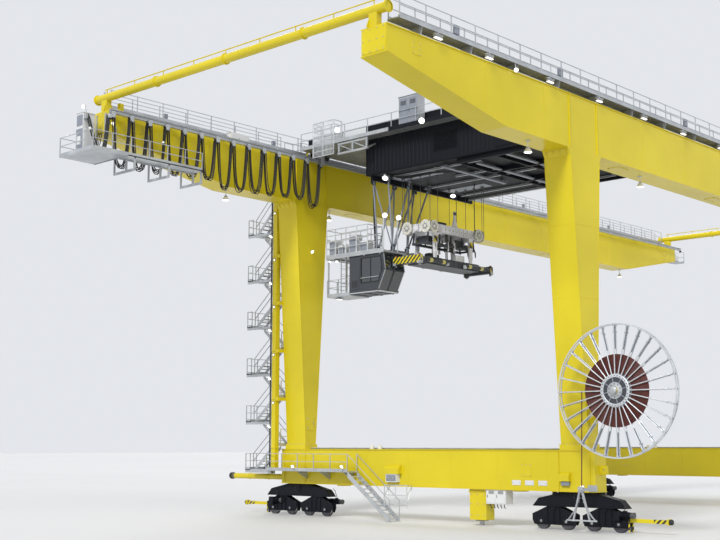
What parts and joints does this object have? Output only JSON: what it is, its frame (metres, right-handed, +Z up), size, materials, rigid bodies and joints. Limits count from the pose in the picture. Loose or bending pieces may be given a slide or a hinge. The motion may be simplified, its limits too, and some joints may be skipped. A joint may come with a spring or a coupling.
{
  "type": "rail mounted gantry crane, 1:2 scale model",
  "caption": "Double-girder gantry crane on rail bogies with two cantilevers, a cab trolley, a container spreader, a cable reel and a stair tower",
  "frame": {"origin": "middle of the overall box, at the wheels' lowest line", "axes": "+X along the girders, +Y along the rails, +Z up"},
  "size_m": [37, 18.15, 13.4],
  "materials": {
    "traffic_yellow": "gloss",
    "galvanised_steel": "matte",
    "navy_paint": "satin",
    "grey_paint": "satin",
    "rail_steel": "worn",
    "wheel_steel": "worn",
    "black_cable": "matte",
    "red_cable": "matte",
    "pale_paint": "satin",
    "wire_rope": "greased",
    "cab_glass": "clear",
    "lamp_housing": "satin"
  },
  "bodies": {
    "root": {"girder_left": "traffic_yellow", "girder_right": "traffic_yellow", "legs_near": "traffic_yellow", "legs_far": "traffic_yellow", "sill_near": "traffic_yellow", "sill_far": "traffic_yellow", "end_ties": "traffic_yellow", "trolley_tracks": "rail_steel", "walkways": "galvanised_steel", "walkway_rails": "galvanised_steel", "festoon_track": "galvanised_steel", "festoon_loops": "black_cable", "end_galleries": "galvanised_steel", "gallery_rails": "galvanised_steel", "stair_mast": "traffic_yellow", "stair_landings": "galvanised_steel", "stair_treads": "galvanised_steel", "stair_rails": "galvanised_steel", "sill_platform": "galvanised_steel", "sill_platform_rails": "galvanised_steel", "bogies": "navy_paint", "buffers": "traffic_yellow", "reel_bracket": "traffic_yellow", "reel_cable": "red_cable", "cable_guide": "galvanised_steel", "floodlights": "lamp_housing", "cabinets": "lamp_housing"},
    "trolley": {"trolley_frame": "navy_paint", "machinery_house": "navy_paint", "trolley_deck": "galvanised_steel", "trolley_handrails": "galvanised_steel", "hanger_lattice": "grey_paint", "cab": "grey_paint", "cab_windows": "cab_glass", "cab_galleries": "galvanised_steel", "hoist_ropes": "wire_rope"},
    "hoist": {"head_block": "pale_paint", "spreader_frame": "grey_paint"},
    "spreader_end_near": {"spreader_end_near": "traffic_yellow"},
    "spreader_end_far": {"spreader_end_far": "traffic_yellow"},
    "arms_near": {"arms_near": "grey_paint"},
    "arms_far": {"arms_far": "grey_paint"},
    "reel": {"reel": "galvanised_steel", "reel_winding": "red_cable"},
    "wheel_1": {"wheel_1": "wheel_steel"},
    "wheel_2": {"wheel_2": "wheel_steel"},
    "wheel_3": {"wheel_3": "wheel_steel"},
    "wheel_4": {"wheel_4": "wheel_steel"},
    "wheel_5": {"wheel_5": "wheel_steel"},
    "wheel_6": {"wheel_6": "wheel_steel"},
    "wheel_7": {"wheel_7": "wheel_steel"},
    "wheel_8": {"wheel_8": "wheel_steel"},
    "wheel_9": {"wheel_9": "wheel_steel"},
    "wheel_10": {"wheel_10": "wheel_steel"},
    "wheel_11": {"wheel_11": "wheel_steel"},
    "wheel_12": {"wheel_12": "wheel_steel"},
    "wheel_13": {"wheel_13": "wheel_steel"},
    "wheel_14": {"wheel_14": "wheel_steel"},
    "wheel_15": {"wheel_15": "wheel_steel"},
    "wheel_16": {"wheel_16": "wheel_steel"}
  },
  "joints": [
    {"name": "wheel_1_spin", "type": "hinge", "parent": "root", "child": "wheel_1", "pos_m": [-8.75, -6.7375, 0.225], "axis": [1, 0, 0], "continuous": true},
    {"name": "wheel_2_spin", "type": "hinge", "parent": "root", "child": "wheel_2", "pos_m": [-8.75, -5.9125, 0.225], "axis": [1, 0, 0], "continuous": true},
    {"name": "wheel_3_spin", "type": "hinge", "parent": "root", "child": "wheel_3", "pos_m": [-8.75, -5.0875, 0.225], "axis": [1, 0, 0], "continuous": true},
    {"name": "wheel_4_spin", "type": "hinge", "parent": "root", "child": "wheel_4", "pos_m": [-8.75, -4.2625, 0.225], "axis": [1, 0, 0], "continuous": true},
    {"name": "wheel_5_spin", "type": "hinge", "parent": "root", "child": "wheel_5", "pos_m": [-8.75, 4.2625, 0.225], "axis": [1, 0, 0], "continuous": true},
    {"name": "wheel_6_spin", "type": "hinge", "parent": "root", "child": "wheel_6", "pos_m": [-8.75, 5.0875, 0.225], "axis": [1, 0, 0], "continuous": true},
    {"name": "wheel_7_spin", "type": "hinge", "parent": "root", "child": "wheel_7", "pos_m": [-8.75, 5.9125, 0.225], "axis": [1, 0, 0], "continuous": true},
    {"name": "wheel_8_spin", "type": "hinge", "parent": "root", "child": "wheel_8", "pos_m": [-8.75, 6.7375, 0.225], "axis": [1, 0, 0], "continuous": true},
    {"name": "wheel_9_spin", "type": "hinge", "parent": "root", "child": "wheel_9", "pos_m": [8.75, -6.7375, 0.225], "axis": [1, 0, 0], "continuous": true},
    {"name": "wheel_10_spin", "type": "hinge", "parent": "root", "child": "wheel_10", "pos_m": [8.75, -5.9125, 0.225], "axis": [1, 0, 0], "continuous": true},
    {"name": "wheel_11_spin", "type": "hinge", "parent": "root", "child": "wheel_11", "pos_m": [8.75, -5.0875, 0.225], "axis": [1, 0, 0], "continuous": true},
    {"name": "wheel_12_spin", "type": "hinge", "parent": "root", "child": "wheel_12", "pos_m": [8.75, -4.2625, 0.225], "axis": [1, 0, 0], "continuous": true},
    {"name": "wheel_13_spin", "type": "hinge", "parent": "root", "child": "wheel_13", "pos_m": [8.75, 4.2625, 0.225], "axis": [1, 0, 0], "continuous": true},
    {"name": "wheel_14_spin", "type": "hinge", "parent": "root", "child": "wheel_14", "pos_m": [8.75, 5.0875, 0.225], "axis": [1, 0, 0], "continuous": true},
    {"name": "wheel_15_spin", "type": "hinge", "parent": "root", "child": "wheel_15", "pos_m": [8.75, 5.9125, 0.225], "axis": [1, 0, 0], "continuous": true},
    {"name": "wheel_16_spin", "type": "hinge", "parent": "root", "child": "wheel_16", "pos_m": [8.75, 6.7375, 0.225], "axis": [1, 0, 0], "continuous": true},
    {"name": "reel_spin", "type": "hinge", "parent": "root", "child": "reel", "pos_m": [-9.72, -7.3, 3.75], "axis": [1, 0, 0], "continuous": true},
    {"name": "trolley_travel", "type": "slide", "parent": "root", "child": "trolley", "axis": [1, 0, 0], "range_m": [-7, 19.5], "deforming": ["festoon_loops"]},
    {"name": "hoist_lift", "type": "slide", "parent": "trolley", "child": "hoist", "axis": [0, 0, -1], "range_m": [-0.1, 6.8], "deforming": ["hoist_ropes"]},
    {"name": "spreader_near_slide", "type": "slide", "parent": "hoist", "child": "spreader_end_near", "axis": [-1, 0, 0], "range_m": [-0.38, 1.15]},
    {"name": "spreader_far_slide", "type": "slide", "parent": "hoist", "child": "spreader_end_far", "axis": [1, 0, 0], "range_m": [-0.38, 1.15]},
    {"name": "arms_near_fold", "type": "hinge", "parent": "spreader_end_near", "child": "arms_near", "pos_m": [-8.13, 1.11, 8.28], "axis": [0, -1, 0], "range_deg": [-90, 0]},
    {"name": "arms_far_fold", "type": "hinge", "parent": "spreader_end_far", "child": "arms_far", "pos_m": [-4.67, 1.11, 8.28], "axis": [0, 1, 0], "range_deg": [-90, 0]}
  ],
  "couplings": [
    {"joint": "wheel_2_spin", "follows": "wheel_1_spin", "ratio": 1},
    {"joint": "wheel_3_spin", "follows": "wheel_1_spin", "ratio": 1},
    {"joint": "wheel_4_spin", "follows": "wheel_1_spin", "ratio": 1},
    {"joint": "wheel_5_spin", "follows": "wheel_1_spin", "ratio": 1},
    {"joint": "wheel_6_spin", "follows": "wheel_1_spin", "ratio": 1},
    {"joint": "wheel_7_spin", "follows": "wheel_1_spin", "ratio": 1},
    {"joint": "wheel_8_spin", "follows": "wheel_1_spin", "ratio": 1},
    {"joint": "wheel_9_spin", "follows": "wheel_1_spin", "ratio": 1},
    {"joint": "wheel_10_spin", "follows": "wheel_1_spin", "ratio": 1},
    {"joint": "wheel_11_spin", "follows": "wheel_1_spin", "ratio": 1},
    {"joint": "wheel_12_spin", "follows": "wheel_1_spin", "ratio": 1},
    {"joint": "wheel_13_spin", "follows": "wheel_1_spin", "ratio": 1},
    {"joint": "wheel_14_spin", "follows": "wheel_1_spin", "ratio": 1},
    {"joint": "wheel_15_spin", "follows": "wheel_1_spin", "ratio": 1},
    {"joint": "wheel_16_spin", "follows": "wheel_1_spin", "ratio": 1},
    {"joint": "spreader_far_slide", "follows": "spreader_near_slide", "ratio": 1},
    {"joint": "arms_far_fold", "follows": "arms_near_fold", "ratio": 1}
  ]
}
